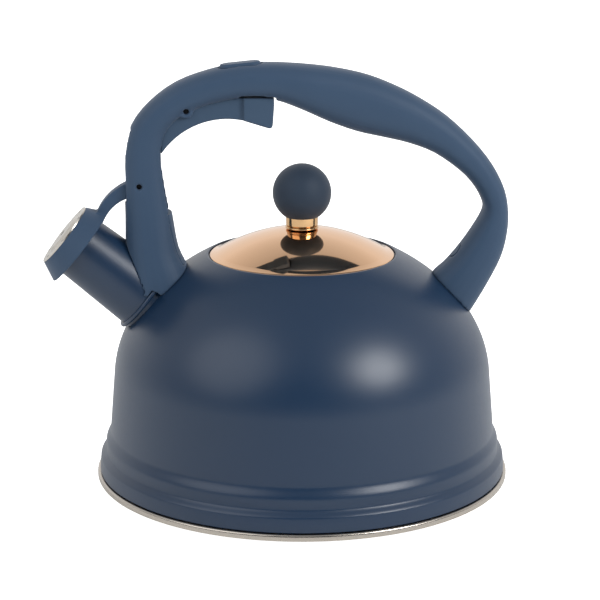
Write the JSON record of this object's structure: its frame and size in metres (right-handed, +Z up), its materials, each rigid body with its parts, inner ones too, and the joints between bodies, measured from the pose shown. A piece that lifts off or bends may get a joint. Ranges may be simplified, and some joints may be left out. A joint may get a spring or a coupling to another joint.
{
  "type": "stovetop whistling kettle",
  "caption": "Dome-shaped stovetop kettle with an arched handle, a squeeze trigger that lifts the whistle cap off the spout, and a lift-off mirror lid with a ball knob.",
  "frame": {"origin": "centre of the flat underside, where the kettle stands on the hob", "axes": "+Z up, the spout points towards -X, the handle lies in the XZ plane"},
  "size_m": [0.2459, 0.22, 0.2228],
  "materials": {
    "navy_paint": "satin navy coating on pressed steel",
    "soft_touch_blue": "soft-touch coated nylon, dusty blue",
    "soft_touch_navy": "soft-touch coated ball, dark navy",
    "steel": "plain stainless steel",
    "aluminium": "plain sheet, sealed inside the base",
    "rose_gold": "mirror-polished steel with a rose-gold coating",
    "gold": "polished gold-coloured metal",
    "brass": "turned brass insert",
    "silicone": "moulded silicone"
  },
  "bodies": {
    "kettle": {"body_shell": "navy_paint", "base_pan": "steel", "heat_disc": "aluminium", "capsule_plate": "steel", "spout_tube": "navy_paint", "spout_collar": "navy_paint", "front_bracket": "steel", "rear_bracket": "navy_paint", "handle_grip": "soft_touch_blue", "post_cover": "soft_touch_blue", "front_screw": "steel", "rear_screw": "steel", "screw_plug": "soft_touch_blue", "trigger_pin": "steel", "whistle_pin": "steel", "trigger_spring": "steel", "button_spring": "steel"},
    "trigger_lever": {"trigger": "soft_touch_blue"},
    "whistle": {"whistle_arm": "soft_touch_blue", "whistle_front_plate": "steel", "whistle_back_plate": "steel", "spout_seal": "silicone"},
    "button": {"thumb_button": "soft_touch_blue", "button_clip": "steel"},
    "lid": {"lid_dome": "rose_gold", "lid_ring": "steel", "lid_washer": "steel", "lid_screw": "steel", "knob_ferrule": "gold", "knob_neck": "gold", "knob_ball": "soft_touch_navy", "knob_insert": "brass"}
  },
  "joints": [
    {"name": "trigger_squeeze", "type": "hinge", "parent": "kettle", "child": "trigger_lever", "pos_m": [-0.0601, 0, 0.1979], "axis": [0, -1, 0], "range_deg": [0, 9], "stiffness_Nm_per_rad": 0.5, "deforming": ["trigger_spring"]},
    {"name": "whistle_swing", "type": "hinge", "parent": "kettle", "child": "whistle", "pos_m": [-0.0848, 0, 0.1589], "axis": [0, 1, 0], "range_deg": [0, 24.2]},
    {"name": "button_press", "type": "slide", "parent": "kettle", "child": "button", "axis": [0, 0, -1], "range_m": [0, 0.002], "stiffness_N_per_m": 500, "deforming": ["button_spring"]},
    {"name": "lid_lift", "type": "slide", "parent": "kettle", "child": "lid", "axis": [0, 0, 1], "range_m": [0, 0.026]}
  ],
  "couplings": [
    {"joint": "whistle_swing", "follows": "trigger_squeeze", "ratio": 2.6667}
  ]
}
